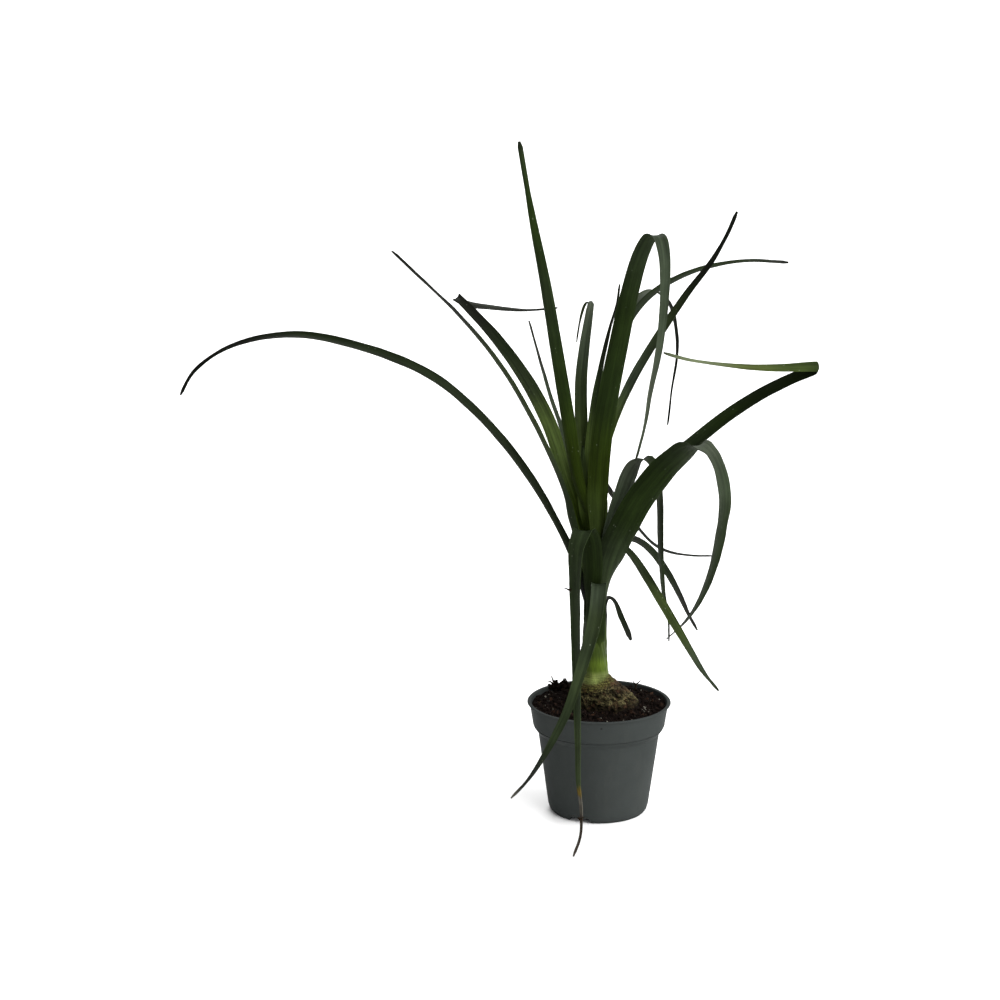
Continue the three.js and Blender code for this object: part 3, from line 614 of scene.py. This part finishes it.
def make_pot():
    material = pot_material()
    points, faces = turned(eased(pot_profile(), POT.corner), POT.sides)
    pot = mesh_object("nursery_pot", points, faces, material)
    cutters = []
    half, height, slant = ARCH.width / 2, ARCH.height, ARCH.slant
    arch = [(-half, -height), (half, -height), (half, 0), (half - slant, height),
            (slant - half, height), (-half, 0)]
    for bearing in ARCH.bearings:
        stand = stood(radians(bearing), ARCH.radius) @ Matrix.Rotation(pi / 2, 4, "Z")
        stand = stand @ Matrix.Rotation(pi / 2, 4, "X")
        cutters.append(prism("arch", arch, -ARCH.depth / 2, ARCH.depth / 2, stand, material))
    hole = circle(DRAIN.radius, DRAIN.sides)
    for i in range(DRAIN.count):
        stand = stood((i + 0.5) * 2 * pi / DRAIN.count, DRAIN.circle)
        cutters.append(prism("drain", hole, -1, POT.floor_top + 1, stand, material))
    cut(pot, cutters)
    shade(pot.data, POT.crease)
    belongs(pot, "pot")


# ---- Soil ----


def on_soil(x, y, above=0):
    """The point above a place on the soil, which has the solid's lumps and clods on them"""
    reach = hypot(x, y) / POT.band_radius
    lumps = sin(0.31 * x + 0.6) * cos(0.27 * y) + 0.6 * sin(0.55 * x - 0.43 * y)
    lumps = blend(SOIL.crown, SOIL.edge, reach * reach) + SOIL.lump * lumps
    clods = sum(high * rough(x, y, layer, size) for high, layer, size in CLODS)
    inside = smooth(hypot(x, y), SOIL.reach, SOIL.reach - 4)
    return x, y, lumps + clods * (0.35 + 0.65 * inside) + above


def make_soil():
    material = crumb_material("potting_soil", (7, 5, 4), (20, 15, 13), 0.95, 900)
    points, tones = [], []
    for i in range(SOIL.rings):
        for x, y in circle(blend(SOIL.inner, SOIL.reach, i / (SOIL.rings - 1)), SOIL.sides):
            points.append(on_soil(x, y))
            tones.append(np.full(3, 0.9 + 0.5 * rough(x, y, 1, 3.5)))
    low = [(radius - POT.wall - 0.5, height) for radius, height in POT.step]
    low += [(POT.body_radius - POT.wall - 0.3, 10), (POT.body_radius - 5.5, 7)]
    for radius, height in low:
        points += [(x, y, height) for x, y in circle(radius, SOIL.sides)]
        tones += [np.full(3, 0.9)] * SOIL.sides
    rings = SOIL.rings + len(low)
    start = (rings - 1) * SOIL.sides
    faces = ring_faces(rings, SOIL.sides) + [tuple(range(SOIL.sides))]
    faces.append(tuple(reversed(range(start, start + SOIL.sides))))
    soil = mesh_object("peat_surface", points, faces, material, 180, tones)
    belongs(soil, "soil")


def unit_lump(detail):
    shape = bmesh.new()
    bmesh.ops.create_icosphere(shape, subdivisions=detail, radius=1)
    points = [vertex.co.copy() for vertex in shape.verts]
    faces = [tuple(vertex.index for vertex in face.verts) for face in shape.faces]
    shape.free()
    return points, faces


class Scatter:
    """Many loose bits in one mesh, each with its own brightness"""

    def __init__(self, draw):
        self.draw, self.points, self.faces, self.tones = draw, [], [], []

    def add(self, points, faces, tone):
        start = len(self.points)
        self.points += points
        self.faces += [tuple(start + id for id in face) for face in faces]
        self.tones += [np.full(3, tone)] * len(points)

    def uneven(self, size, low, high):
        """Three sizes drawn round one"""
        return [size * self.draw.uniform(low, high) for _ in range(3)]

    def lump(self, centre, sizes, detail, dent, tone):
        points, faces = unit_lump(detail)
        turn = Matrix.Rotation(self.draw.uniform(0, 6.28), 3, self.axis())
        shift = Vector((self.draw.uniform(0, 90), 0, 0))
        moved = []
        for point in points:
            push = 1 + dent * noise.noise(point * 1.7 + shift)
            bumpy = Vector(c * size * push for c, size in zip(point, sizes))
            moved.append(Vector(centre) + turn @ bumpy)
        self.add(moved, faces, tone)

    def axis(self):
        axis = Vector(self.draw.uniform(-1, 1) for _ in range(3))
        return axis.normalized() if axis.length > 0.1 else Vector((0, 0, 1))

    def fibre(self, way, radius, tone, sides=5):
        """A thin strand along the given points that thins towards its far end"""
        way = [Vector(point) for point in way]
        points = []
        for i, point in enumerate(way):
            run = (way[min(i + 1, len(way) - 1)] - way[max(i - 1, 0)]).normalized()
            side = run.orthogonal().normalized()
            other = run.cross(side)
            thin = radius * (1 - 0.7 * i / (len(way) - 1))
            points += [point + thin * (x * side + y * other) for x, y in circle(1, sides)]
        self.add(points, tube_faces(len(way), sides), tone)

    def piece(self, name, material, sharp=None):
        made = mesh_object(name, self.points, self.faces, material, sharp, self.tones)
        belongs(made)


def soil_spot(draw, inner, outer):
    """A place on the soil clear of the swollen foot"""
    while True:
        bearing = draw.uniform(0, 2 * pi)
        reach = sqrt(draw.uniform((inner / outer) ** 2, 1)) * outer
        x, y = reach * cos(bearing), reach * sin(bearing)
        if hypot(x - FOOT.x, y) > FOOT.clear:
            return x, y


def scatter_crumbs(draw):
    """Peat crumbs all over the soil, and a heap of them against the rim"""
    crumbs = Scatter(draw)
    for _ in range(LITTER.crumbs):
        x, y = soil_spot(draw, 4, 55)
        size = 0.45 + 1.25 * draw.random() ** 2.2
        sizes = crumbs.uneven(size, 0.7, 1.3)
        crumbs.lump(on_soil(x, y, 0.25 * size), sizes, 1, 0.5, draw.uniform(0.55, 1.7))
    for _ in range(HEAP.count):
        away = [draw.uniform(-1, 1), draw.gauss(0, 0.5), draw.random()]
        away[2] *= (1 - away[0] ** 2) * (0.6 + 0.4 * sin(9 * away[0]))
        spot = [middle + step * spread for middle, step, spread in zip(HEAP.place, away, HEAP.spread)]
        sizes = crumbs.uneven(draw.uniform(0.7, 1.9), 0.6, 1.2)
        crumbs.lump(spot, sizes, 1, 0.5, draw.uniform(0.5, 1.2))
    stuff = crumb_material("peat_crumb", (8, 6, 5), (25, 18, 15), 0.95, 1500)
    crumbs.piece("peat_crumbs", stuff)


def scatter_bark(draw):
    bark = Scatter(draw)
    for _ in range(LITTER.chips):
        x, y = soil_spot(draw, 6, 53.5)
        long = draw.uniform(1.4, 3.1)
        sizes = (long, long * draw.uniform(0.45, 0.8), long * draw.uniform(0.22, 0.4))
        bark.lump(on_soil(x, y, 0.4), sizes, 2, 0.45, draw.uniform(0.6, 1.5))
    bark.piece("bark_chips", crumb_material("bark_chip", (16, 11, 9), (48, 33, 24), 0.85, 1100))


def scatter_perlite(draw):
    """White grains all over the soil, and thicker where the photograph shows them so"""
    white = Scatter(draw)
    for _ in range(LITTER.grains):
        x, y = soil_spot(draw, 6, LITTER.reach)
        size = 0.3 + 0.7 * draw.random() ** 2
        sizes = white.uneven(size, 0.75, 1.25)
        white.lump(on_soil(x, y, 0.45 * size), sizes, 2, 0.4, draw.uniform(0.7, 1.05))
    for middle, spread, count in PERLITE:
        for _ in range(count):
            x, y = (centre + draw.gauss(0, 0.5) * spread for centre in middle)
            sizes = [draw.uniform(0.4, 1.1), draw.uniform(0.3, 0.6), draw.uniform(0.3, 0.6)]
            if hypot(x, y) < LITTER.reach:
                white.lump(on_soil(x, y, 0.4), sizes, 2, 0.4, draw.uniform(0.6, 1.3))
    white.piece("perlite", crumb_material("perlite", (80, 77, 70), (130, 127, 117), 0.85, 2400))


def scatter_fibres(draw):
    """Fibres of peat on the soil, the twigs, and hairs of torn cork on the foot"""
    strands = Scatter(draw)
    for _ in range(LITTER.fibres):
        x, y = soil_spot(draw, 6, 52.5)
        bearing, stride = draw.uniform(0, 6.28), draw.uniform(3, 9) / 6
        way = []
        for i in range(7):
            bearing += draw.uniform(-0.5, 0.5)
            way.append(on_soil(x, y, 0.35 + 0.9 * sin(pi * i / 6) * draw.random()))
            x, y = x + stride * cos(bearing), y + stride * sin(bearing)
        if hypot(x, y) < LITTER.reach:
            strands.fibre(way, draw.uniform(0.12, 0.3), draw.uniform(0.5, 1.5))
    for way, radius in TWIGS:
        strands.fibre(way, radius, 0.5)
    for _ in range(HAIRS.count):
        spot = Vector(middle + draw.uniform(-1, 1) * spread
                      for middle, spread in zip(HAIRS.place, HAIRS.spread))
        spot = Vector((*trunk_skin(spot), spot.z))
        lean = Vector((draw.uniform(0.2, 1), draw.uniform(-1, 0.2), draw.uniform(-0.8, 0.8)))
        strands.fibre([spot + lean * step for step in (0, 1, 2.2, 3.2)], 0.12, 3.0)
    stuff = crumb_material("peat_fibre", (20, 15, 11), (52, 41, 29), 0.9, 1500)
    strands.piece("peat_fibres", stuff, 60)


# ---- Swollen foot and stem ----


def trunk_ring(height):
    """Middle x, radius and bark depth at a height"""
    for low, high in zip(TRUNK_RINGS, TRUNK_RINGS[1:]):
        if height <= high[0]:
            share = (height - low[0]) / (high[0] - low[0])
            return [blend(a, b, share) for a, b in zip(low[1:], high[1:])]
    return TRUNK_RINGS[-1][1:]


def trunk_level(angle, height):
    """The height that decides between cork, scars and stem: cork climbs further on the right"""
    return height - 4.5 * cos(angle) * (1 - smooth(height, 118, 132))


def off_bearing(angle, bearing):
    """How many degrees an angle in radians lies from a bearing in degrees"""
    return abs((degrees(angle) - bearing + 180) % 360 - 180)


def trunk_relief(angle, height, x, y):
    """How far the surface stands off its ring, as bark and as scars and sheaths, and its cork"""
    level = trunk_level(angle, height)
    cork = 1 - smooth(level, 109, 114)
    plates = 0.6 * sin(5 * angle + 0.21 * height) + 0.4 * sin(9 * angle - 0.35 * height)
    ridges = 1 - 3.6 * abs(rough(x, y, 1.8 * height, 8, 1))
    flakes = 1 - 3.2 * abs(rough(x, y, 1.6 * height, 3.2, 2))
    lumps = 0.8 * ridges + 0.75 * flakes + 0.6 * rough(x, y, height, 1.3, 3) - 0.3
    scars = 0.25 * sin(height * 2 * pi / SCAR_STEP + 1.2 * sin(angle)) * smooth(level, 106, 110)
    scars *= 1 - smooth(height, 119, 122)
    sheaths = 0.0
    for bearing, bottom, top, wide in SHEATHS:
        half = wide * (1 - 0.5 * smooth(height, bottom, top))
        rise = smooth(height, bottom - 1, bottom + 5) * (1 - smooth(height, top - 6, top + 6))
        sheaths += 0.42 * rise * (1 - smooth(off_bearing(angle, bearing), half - 5, half + 2))
    return cork * (0.5 * plates + lumps), scars + sheaths, cork


def trunk_skin(spot):
    """The point of the foot's surface that lies level with a spot, on its side of the middle"""
    middle, radius, _ = trunk_ring(spot.z)
    away = Vector((spot.x - middle, spot.y)).normalized() * radius
    return middle + away.x, away.y


def trunk_tone(angle, height, x, y, relief):
    """Dark hollows under pale flakes of cork, partly painted shade and light; tan scars, a pale collar
    with a painted shine, the green stem and painted shade on its left
    """
    level = trunk_level(angle, height)
    mottle = 0.5 + 0.5 * rough(x, y, height, 5, 4)
    hollow = blend(shown(24, 18, 12), shown(32, 32, 16), mottle)
    flake = blend(shown(100, 92, 62), shown(146, 138, 96), mottle)
    rosy = smooth(cos(angle), 0.3, 0.95) * smooth(height, 101, 106)
    flake = blend(flake, shown(80, 60, 46), 0.7 * rosy)
    # Hollows darker and flakes lighter as the relief goes: partly the cork's own colour, partly painted
    # shade and light
    tone = blend(hollow, flake, smooth(relief, -0.9, 1.3))
    # Darker towards the soil, low on the foot
    low_darkening = smooth(95 - 3.5 * sin(angle) + relief - height, 0, 3)
    tone = blend(tone, shown(26, 20, 15), 0.85 * low_darkening)
    ring = smooth(sin(height * 2 * pi / SCAR_STEP), -0.6, 0.6)
    scar = blend(shown(126, 124, 70), shown(84, 74, 42), ring)
    tone = blend(tone, scar, smooth(level, 107, 111))
    # A shine painted on the collar's front left
    painted_shine = exp(-((degrees(angle) - PAINTED_SHINE.bearing) / PAINTED_SHINE.spread) ** 2)
    collar = blend(shown(104, 114, 58), shown(132, 144, 84), mottle) * (1 + 0.9 * painted_shine)
    tone = blend(tone, collar, smooth(level, 112, 115) * smooth(height, 111, 113.5))
    for colour, low, high in STEM_GREENS:
        tone = blend(tone, shown(*colour), smooth(height, low, high))
    away = off_bearing(angle, SEAM.bearing - SEAM.slope * (height - SEAM.height))
    pale = (1 - smooth(away, 2, 5)) * smooth(height, 119, 124) * (1 - smooth(height, 160, 170))
    tone = blend(tone, shown(104, 115, 84), 0.25 * pale)
    # Painted shade on the left side of the stem and collar
    return tone * (1 - 0.6 * smooth(-cos(angle), 0, 0.8) * smooth(height, 114, 124))


def make_trunk():
    heights = np.arange(TRUNK_RINGS[0][0], TRUNK_RINGS[-1][0] + TRUNK.step / 2, TRUNK.step)
    points, tones, places = [], [], []
    for height in heights:
        middle, radius, depth = trunk_ring(float(height))
        for k in range(TRUNK.sides):
            angle = 2 * pi * k / TRUNK.sides
            x, y = radius * cos(angle), radius * sin(angle)
            bark, skin, cork = trunk_relief(angle, height, x, y)
            r = radius + min(1.0, radius / 12) * bark * max(depth, 0.5 * cork) + skin
            points.append((middle + r * cos(angle), r * sin(angle), height))
            # Painted light and shade follow the scars and sheaths: lighter where they stand out, darker
            # where they sink
            tones.append(trunk_tone(angle, height, x, y, bark) * (0.85 + 0.5 * skin))
            places.append((x, y, trunk_level(angle, height)))
    faces = tube_faces(len(heights), TRUNK.sides)
    trunk = mesh_object("corky_foot_and_stem", points, faces, bark_material(), 50, tones, places)
    belongs(trunk, "swollen_foot_and_stem")


# ---- Leaves ----


def stem_radius(height):
    narrowed = STEM.radius - max(0, height - STEM.narrows_from) * STEM.narrowing
    return max(STEM.least, narrowed)


def centripetal(points, per_span):
    """A smooth curve through the points, the same one that the solid leaves follow"""
    points = [np.array(point, dtype=float) for point in points]
    points = [2 * points[0] - points[1]] + points + [2 * points[-1] - points[-2]]
    out = []
    for i in range(1, len(points) - 2):
        p0, p1, p2, p3 = points[i - 1:i + 3]
        pairs = ((p0, p1), (p1, p2), (p2, p3))
        d0, d1, d2 = (sqrt(np.linalg.norm(b - a)) for a, b in pairs)
        t1 = ((p1 - p0) / d0 - (p2 - p0) / (d0 + d1) + (p2 - p1) / d1) * d1
        t2 = ((p2 - p1) / d1 - (p3 - p1) / (d1 + d2) + (p3 - p2) / d2) * d1
        square, cube = 3 * p2 - 3 * p1 - 2 * t1 - t2, 2 * p1 - 2 * p2 + t1 + t2
        for w in (k / per_span for k in range(per_span)):
            out.append(p1 + t1 * w + square * w ** 2 + cube * w ** 3)
    return np.array(out + [points[-2]])


def leaf_way(bearing, start, route):
    """The leaf's points from its clasp to its tip, with the bearing and tilt of its width"""
    radius = stem_radius(start) + BLADE.lift + BLADE.thickness / 2
    wrap = 360 * round((route[0][3] - bearing - 90) / 360)
    rows = []
    for rise, step in zip(BLADE.clasp, (0, 0, BLADE.lean)):
        x, y = (radius + step) * cos(radians(bearing)), (radius + step) * sin(radians(bearing))
        rows.append((STEM.x + x, y, start + rise, bearing + 90 + wrap, 0))
    return radius, np.array(rows + [(*row, 0)[:5] for row in route], dtype=float)


def leaf_tone(style, along, face, place, spot, index):
    """The colour of one point of a blade, from its share of the length and its face"""
    def green(name):
        return shown(*GREENS[name], GAIN[face])
    names, edge = getattr(style, face).split(), abs(place)
    step = min(max(along, 0), 0.999) * (len(names) - 1)
    tone = blend(green(names[int(step)]), green(names[int(step) + 1]), smooth(step % 1, 0, 1))
    mottle = 0.18 * rough(*spot, 22, index) + 0.1 * rough(*spot, 7, index)
    # The leaf's light factor paints light or shade into its whole colour
    tone = style.light * tone * (1 + mottle)
    tone = tone * (1 + 0.35 * smooth(edge, 0.86, 1) + style.stripe * (1 - smooth(edge, 0.06, 0.2)))
    # Painted light and shade: one half of a folded blade lighter, the other darker
    tone = tone * (1 + style.slant * place)
    ragged = along + 0.012 * rough(*spot, 3, index)
    for start, name in style.bands:
        band = green(name) * (1 + 0.3 * rough(*spot, 3, index + 9))
        tone = blend(tone, band, smooth(ragged, start, start + 0.01))
    tip = green(style.tip) * (1 + 0.3 * rough(*spot, 4, index + 9))
    return blend(tone, tip, smooth(ragged, style.dry_from, style.dry_from + 0.05))


def leaf_width(style, clasp, width, length, clasped, total, index):
    """How wide a blade is: like its clasp, then its widest, then tapering to its tip"""
    share, widest = max(length, 0) / total, clasped / total + BLADE.widening
    if share < widest:
        wide = blend(clasp, width, smooth(share, clasped / total, widest))
    else:
        taper = ((share - widest) / (1 - widest)) ** style.taper
        wide = max(style.tip_width, width * (1 - taper))
        wide *= blend(1, style.wider, smooth(share, widest, widest + 0.1))
    wide *= 1 + 0.03 * rough(length, 0, 0, 30, index) * smooth(share, widest, 1)
    wide += BLADE.fringe * smooth(length, clasped + 10, clasped + 60)
    wide *= 1 - 0.5 * smooth(length, total - style.point, total)
    along = (length - clasped) / (total - clasped)
    return wide * (1 - style.shrunk * smooth(along, 0.82, 0.86))


def make_leaf(name, index, bearing, start, clasp, width, route, material):
    style = Values(**{**PLAIN, **STYLES[index]})
    style.under = getattr(style, "under", style.upper)
    box = [np.array(corner) / MM for corner in cad_box]
    clasp_radius, rows = leaf_way(bearing, start, route)
    dense = centripetal(rows[:, :3], BLADE.samples)
    steps = np.linalg.norm(np.diff(dense, axis=0), axis=1)
    lengths, marks = np.concatenate([[0], np.cumsum(steps)]), np.arange(len(dense))
    total, clasped = lengths[-1], lengths[(len(BLADE.clasp) - 1) * BLADE.samples]
    columns = [sin(pi * k / (BLADE.columns - 1) - pi / 2) for k in range(BLADE.columns)]
    runs, spans = np.gradient(dense, axis=0), np.arange(len(rows))

    def read(table, mark):
        return [np.interp(mark, marks, table[:, axis]) for axis in range(3)]

    points, tones, places = [], [], []
    foot = [-style.foot * share for share in (1, 0.75, 0.5, 0.25)]
    stations = foot + list(np.linspace(0, total, int(total / BLADE.step) + 1))
    for length in stations:
        t = np.interp(max(length, 0), lengths, marks)
        centre, run = np.array(read(dense, t)), Vector(read(runs, t)).normalized()
        across = heading(*(np.interp(t / BLADE.samples, spans, rows[:, c]) for c in (3, 4)))
        across = (across - run * across.dot(run)).normalized()
        inward = run.cross(across)
        wide = leaf_width(style, clasp, width, length, clasped, total, index)
        along = (length - clasped) / (total - clasped)
        curl = 1 / clasp_radius if length <= clasped else 1 / max(wide, clasp_radius)
        sunk = max(-length / style.foot, 0)
        centre = centre + BLADE.sink * sunk ** 2 * np.array(inward)
        ripple = style.ripple * smooth(length, clasped, clasped + 60)
        channel = BLADE.channel * wide * smooth(length, clasped, clasped + 30)
        for side, face in ((-1, "upper"), (1, "under")):
            for place in columns[::-side]:
                angle = place * wide * curl / 2
                thick = BLADE.thickness * (0.5 - 0.14 * place * place)
                if side > 0:
                    thick += BLADE.rib * exp(-(place * wide / BLADE.rib_width) ** 2)
                radius = 1 / curl + side * thick
                wave = ripple * place ** 2 * rough(length, 8 * place, 0, 16, index + 0.5)
                fold = channel * (abs(place) - place * place)
                point = Vector(centre) + across * radius * sin(angle)
                point += inward * (1 / curl - radius * cos(angle) + wave - fold)
                point.z -= sunk * style.foot * (1 - 0.65 * place * place)
                point = Vector(np.clip(point, *box))
                points.append(point)
                tone = leaf_tone(style, along, face, place, point, index)
                base = 0.7 * (1 - smooth(length, -6, 6))
                tones.append(blend(tone, shown(*LEAF_BASE), base))
                places.append((place * wide / 2, length, 40.0 * index + 7 * (side > 0)))
    ring = 2 * len(columns)
    faces = ring_faces(len(stations), ring)
    for base, ends in ((0, True), (len(points) - ring, False)):
        for k in range(len(columns) - 1):
            quad = [base + id for id in (k, k + 1, ring - 2 - k, ring - 1 - k)]
            faces.append(tuple(reversed(quad) if ends else quad))
    return mesh_object(name, points, faces, material, 55, tones, places)


# ---- Room ----


def make_floor():
    shader = Shader("floor", 0.9)
    faint = shader.ranged(shader.noise(shader.node("TexCoord", 3), 3.0), 0.3, 0.7, 0.85, 0.87)
    material = shader.finish(shader.grey(faint))
    corners = [(x * FLOOR, y * FLOOR, 0) for x, y in ((-1, -1), (1, -1), (1, 1), (-1, 1))]
    mesh_object("floor", corners, [(0, 1, 2, 3)], material)


def make_light():
    world = bpy.data.worlds.new("studio")
    world.use_nodes = True
    sky = Nodes(world.node_tree)
    across = sky.node("SeparateXYZ", 0, [sky.node("TexCoord")])
    backdrop = sky.nodes["Background"].inputs
    sky.put(backdrop["Strength"], sky.ranged(across, -1, 1, SKY.left, SKY.right))
    backdrop["Color"].default_value = (1, 1, 1, 1)
    bpy.context.scene.world = world
    for sun in (KEY, BACK):
        lamp = bpy.data.lights.new(sun.name, "SUN")
        lamp.energy, lamp.angle = sun.strength, radians(sun.size)
        towards = heading(sun.bearing, sun.height).to_track_quat("Z", "Y")
        placed(sun.name, lamp).rotation_euler = towards.to_euler()


def make_camera():
    lens = bpy.data.cameras.new("view")
    lens.lens, lens.sensor_width = CAMERA.lens, CAMERA.sensor
    lens.sensor_fit, lens.clip_end = "HORIZONTAL", CAMERA.sight
    eye = placed("view", lens)
    eye.location = [c * MM for c in CAMERA.place]
    eye.rotation_euler = (radians(90 - CAMERA.down), 0, 0)
    bpy.context.scene.camera = eye
    bpy.context.scene.view_settings.view_transform = "Standard"


# ---- Making ----

make_floor()
make_light()
make_camera()
make_pot()
make_soil()
chance = random.Random(SEED)
for scatter in (scatter_crumbs, scatter_bark, scatter_perlite, scatter_fibres):
    scatter(chance)
make_trunk()
leaf_stuff = leaf_material()
for index, (name, *shape) in enumerate(LEAVES, 1):
    blade = make_leaf(f"blade_{index:02}_{name}", index, *shape, leaf_stuff)
    belongs(blade, f"leaf_{index:02}_{name}")
for name, *shape in HEART:
    belongs(make_leaf(name, len(LEAVES) + 1, *shape, leaf_stuff))
